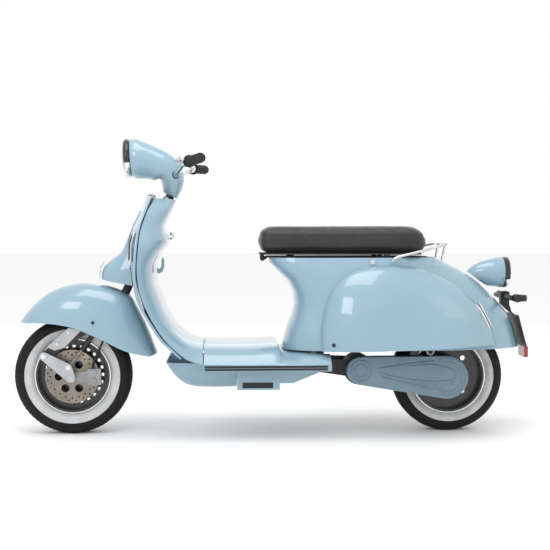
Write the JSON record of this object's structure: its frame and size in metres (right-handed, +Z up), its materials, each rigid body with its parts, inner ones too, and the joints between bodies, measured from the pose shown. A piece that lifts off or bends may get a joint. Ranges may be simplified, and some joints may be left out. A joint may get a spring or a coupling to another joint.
{
  "type": "moped scooter",
  "caption": "Step-through moped scooter with a leg shield, flat floor, rounded rear body with side cowls, a long saddle and small whitewall wheels.",
  "frame": {"origin": "centre of the footprint on the ground, under the middle of the overall length", "axes": "+X towards the rear of the scooter, +Y to the rider's right, +Z up"},
  "size_m": [1.82, 0.6904, 1.04],
  "materials": {
    "blue_paint": "gloss",
    "frame_black": "satin",
    "chrome_trim": "polished",
    "silver_paint": "satin",
    "aluminium": "satin",
    "steel_plate": "brushed",
    "black_plastic": "matte",
    "cover_plastic": "gloss",
    "grip_rubber": "matte",
    "tyre_rubber": "matte",
    "lamp_glass": "clear",
    "red_lens": "gloss",
    "seat_vinyl": "grained"
  },
  "bodies": {
    "chassis": {"frame": "frame_black", "head_bearings": "steel_plate", "leg_shield": "blue_paint", "knee_panel": "blue_paint", "horn_cover": "blue_paint", "front_trim": "chrome_trim", "side_signals": "chrome_trim", "floor_board": "blue_paint", "floor_strips": "grip_rubber", "under_cover": "blue_paint", "rear_body": "blue_paint", "cowl_left": "blue_paint", "cowl_right": "blue_paint", "storage_bucket": "black_plastic", "battery": "black_plastic", "motor_controller": "aluminium", "tail_lamp_shell": "blue_paint", "tail_lamp_ring": "chrome_trim", "tail_lamp_lens": "red_lens", "plate_holder": "black_plastic", "tail_signals": "black_plastic", "rear_reflector": "red_lens", "grab_rail": "chrome_trim", "rear_damper_bodies": "frame_black", "bag_hook": "blue_paint"},
    "steering": {"steering_fork": "frame_black", "front_fender": "blue_paint", "headset": "blue_paint", "headlamp_ring": "chrome_trim", "headlamp_lens": "lamp_glass", "handlebar": "chrome_trim", "left_grip": "grip_rubber", "control_perches": "chrome_trim", "fork_covers": "silver_paint"},
    "throttle": {"throttle_grip": "grip_rubber"},
    "left_lever": {"left_brake_lever": "chrome_trim"},
    "right_lever": {"right_brake_lever": "chrome_trim"},
    "front_link_arm": {"front_link": "frame_black", "front_caliper": "silver_paint", "brake_hose": "grip_rubber"},
    "front_wheel": {"front_tyre": "tyre_rubber", "front_rim": "frame_black", "front_disc": "steel_plate"},
    "front_damper": {"front_damper_bodies": "frame_black"},
    "front_damper_rod": {"front_damper_rods": "steel_plate"},
    "swing": {"swing_arm": "frame_black", "drive_motor": "aluminium", "drive_cover": "cover_plastic", "drive_belt": "grip_rubber", "rear_drum_plate": "aluminium"},
    "motor_shaft": {"motor_pulley": "steel_plate"},
    "rear_wheel": {"rear_tyre": "tyre_rubber", "rear_rim": "frame_black", "rear_output_shaft": "steel_plate"},
    "rear_damper_rod": {"rear_damper_rods": "steel_plate"},
    "seat": {"seat_cushion": "seat_vinyl", "seat_pan": "black_plastic"},
    "seat_lock_barrel": {"seat_lock": "chrome_trim"},
    "ignition": {"ignition_switch": "chrome_trim"},
    "stand": {"centre_stand": "frame_black"}
  },
  "joints": [
    {"name": "steering", "type": "hinge", "parent": "chassis", "child": "steering", "pos_m": [-0.368, 0, 0.828], "axis": [0.4226, 0, 0.9063], "range_deg": [-38, 38]},
    {"name": "throttle_twist", "type": "hinge", "parent": "steering", "child": "throttle", "pos_m": [-0.248, 0.34, 0.948], "axis": [0.323, 0.946, 0.0288], "range_deg": [0, 70], "stiffness_Nm_per_rad": 0.3, "springref_deg": -11.46},
    {"name": "left_lever_pull", "type": "hinge", "parent": "steering", "child": "left_lever", "pos_m": [-0.32317, -0.2, 0.94541], "axis": [0, 0, 1], "range_deg": [0, 12], "stiffness_Nm_per_rad": 2, "springref_deg": -17.19},
    {"name": "right_lever_pull", "type": "hinge", "parent": "steering", "child": "right_lever", "pos_m": [-0.32317, 0.2, 0.94541], "axis": [0, 0, -1], "range_deg": [0, 12], "stiffness_Nm_per_rad": 2, "springref_deg": -17.19},
    {"name": "front_suspension", "type": "hinge", "parent": "steering", "child": "front_link_arm", "pos_m": [-0.796, 0, 0.281], "axis": [0, -1, 0], "range_deg": [0, 25], "stiffness_Nm_per_rad": 120, "springref_deg": -14.32, "deforming": ["brake_hose"]},
    {"name": "front_wheel_spin", "type": "hinge", "parent": "front_link_arm", "child": "front_wheel", "pos_m": [-0.705, 0, 0.205], "axis": [0, 1, 0], "continuous": true},
    {"name": "front_damper_swing", "type": "hinge", "parent": "steering", "child": "front_damper", "pos_m": [-0.585, 0, 0.412], "axis": [0, 1, 0], "range_deg": [0, 5]},
    {"name": "front_damper_slide", "type": "slide", "parent": "front_damper", "child": "front_damper_rod", "axis": [0.5985, 0, 0.8011], "range_m": [0, 0.037]},
    {"name": "rear_suspension", "type": "hinge", "parent": "chassis", "child": "swing", "pos_m": [0.16, 0, 0.24], "axis": [0, -1, 0], "range_deg": [0, 7], "stiffness_Nm_per_rad": 600, "springref_deg": -17.19},
    {"name": "rear_damper_slide", "type": "slide", "parent": "chassis", "child": "rear_damper_rod", "axis": [-0.1751, 0, 0.9846], "range_m": [0, 0.048]},
    {"name": "rear_wheel_spin", "type": "hinge", "parent": "swing", "child": "rear_wheel", "pos_m": [0.622, 0, 0.197], "axis": [0, 1, 0], "continuous": true},
    {"name": "motor_spin", "type": "hinge", "parent": "swing", "child": "motor_shaft", "pos_m": [0.299, 0, 0.227], "axis": [0, 1, 0], "continuous": true},
    {"name": "seat_hinge", "type": "hinge", "parent": "chassis", "child": "seat", "pos_m": [-0.04, 0, 0.614], "axis": [0, -1, 0], "range_deg": [0, 75]},
    {"name": "seat_lock_turn", "type": "hinge", "parent": "chassis", "child": "seat_lock_barrel", "pos_m": [0.336, -0.14, 0.606], "axis": [0, 1, 0], "range_deg": [0, 90]},
    {"name": "ignition_turn", "type": "hinge", "parent": "chassis", "child": "ignition", "pos_m": [-0.37, 0.07, 0.695], "axis": [1, 0, 0], "range_deg": [0, 90]},
    {"name": "stand_swing", "type": "hinge", "parent": "chassis", "child": "stand", "pos_m": [-0.09, 0, 0.196], "axis": [0, 1, 0], "range_deg": [0, 88]}
  ],
  "couplings": [
    {"joint": "front_damper_swing", "follows": "front_suspension", "ratio": 0.19},
    {"joint": "front_damper_slide", "follows": "front_suspension", "m_per_rad": 0.0837},
    {"joint": "rear_damper_slide", "follows": "rear_suspension", "m_per_rad": 0.388},
    {"joint": "motor_spin", "follows": "rear_wheel_spin", "ratio": 1.75}
  ]
}
